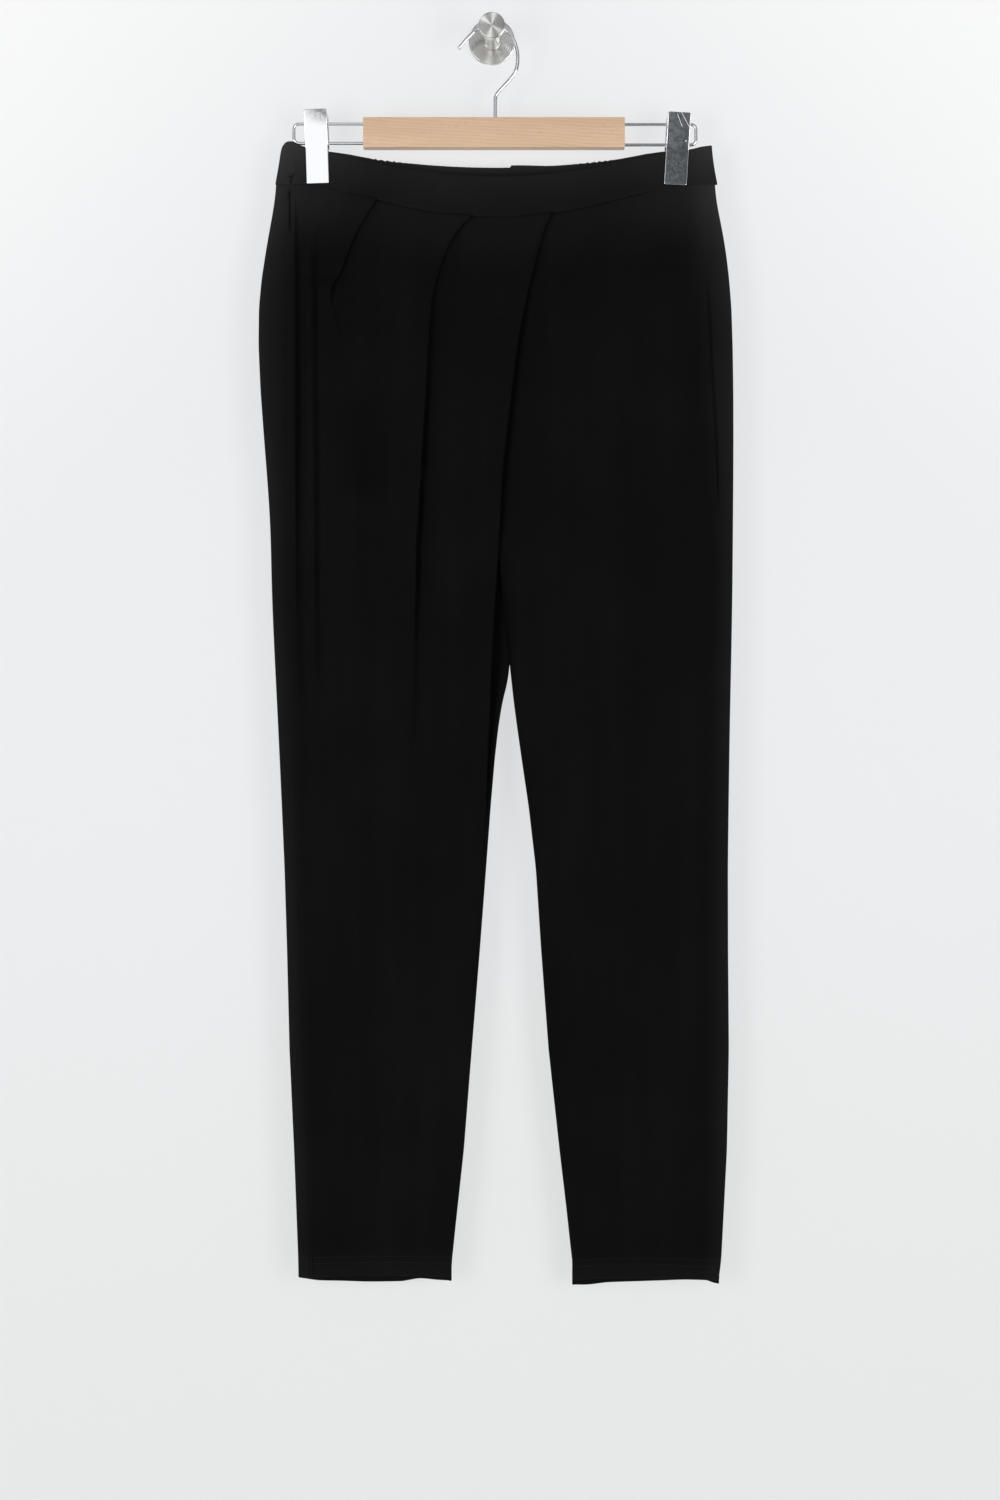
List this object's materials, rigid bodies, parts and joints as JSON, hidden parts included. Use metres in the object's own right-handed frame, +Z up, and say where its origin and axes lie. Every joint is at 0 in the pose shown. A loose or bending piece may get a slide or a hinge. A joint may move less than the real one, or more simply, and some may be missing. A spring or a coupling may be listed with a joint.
{
  "type": "leggings on a clip hanger and wall hook",
  "caption": "Black jersey pull-on leggings with knife pleats on the right front, hanging flat from a wooden clip hanger on a round wall hook.",
  "frame": {"origin": "centre of the wall hook's base plate, on the wall", "axes": "+Z up, +Y into the wall, +X to the wearer's left"},
  "size_m": [0.4266, 0.057, 1.1438],
  "materials": {
    "jersey": "matt black stretch jersey with a fine rib and a soft sheen at glancing angles",
    "beech": "clear-lacquered light beech, fine straight grain",
    "chrome": "bright plated steel wire and plate, lightly scratched",
    "steel": "brushed stainless steel with polished edges"
  },
  "bodies": {
    "root": {"front_waistband": "jersey", "back_waistband": "jersey", "front_right_panel": "jersey", "front_left_panel": "jersey", "back_right_panel": "jersey", "back_left_panel": "jersey", "front_right_hem": "jersey", "back_right_hem": "jersey", "front_left_hem": "jersey", "back_left_hem": "jersey", "hanger_bar": "beech", "hanger_hook": "chrome", "slide_rod_right": "chrome", "slide_rod_left": "chrome", "clip_right_front": "chrome", "clip_right_back": "chrome", "clip_left_front": "chrome", "clip_left_back": "chrome", "clip_right_spring": "steel", "clip_left_spring": "steel", "wall_plate": "steel", "wall_post": "steel", "wall_cap": "steel"}
  },
  "joints": []
}
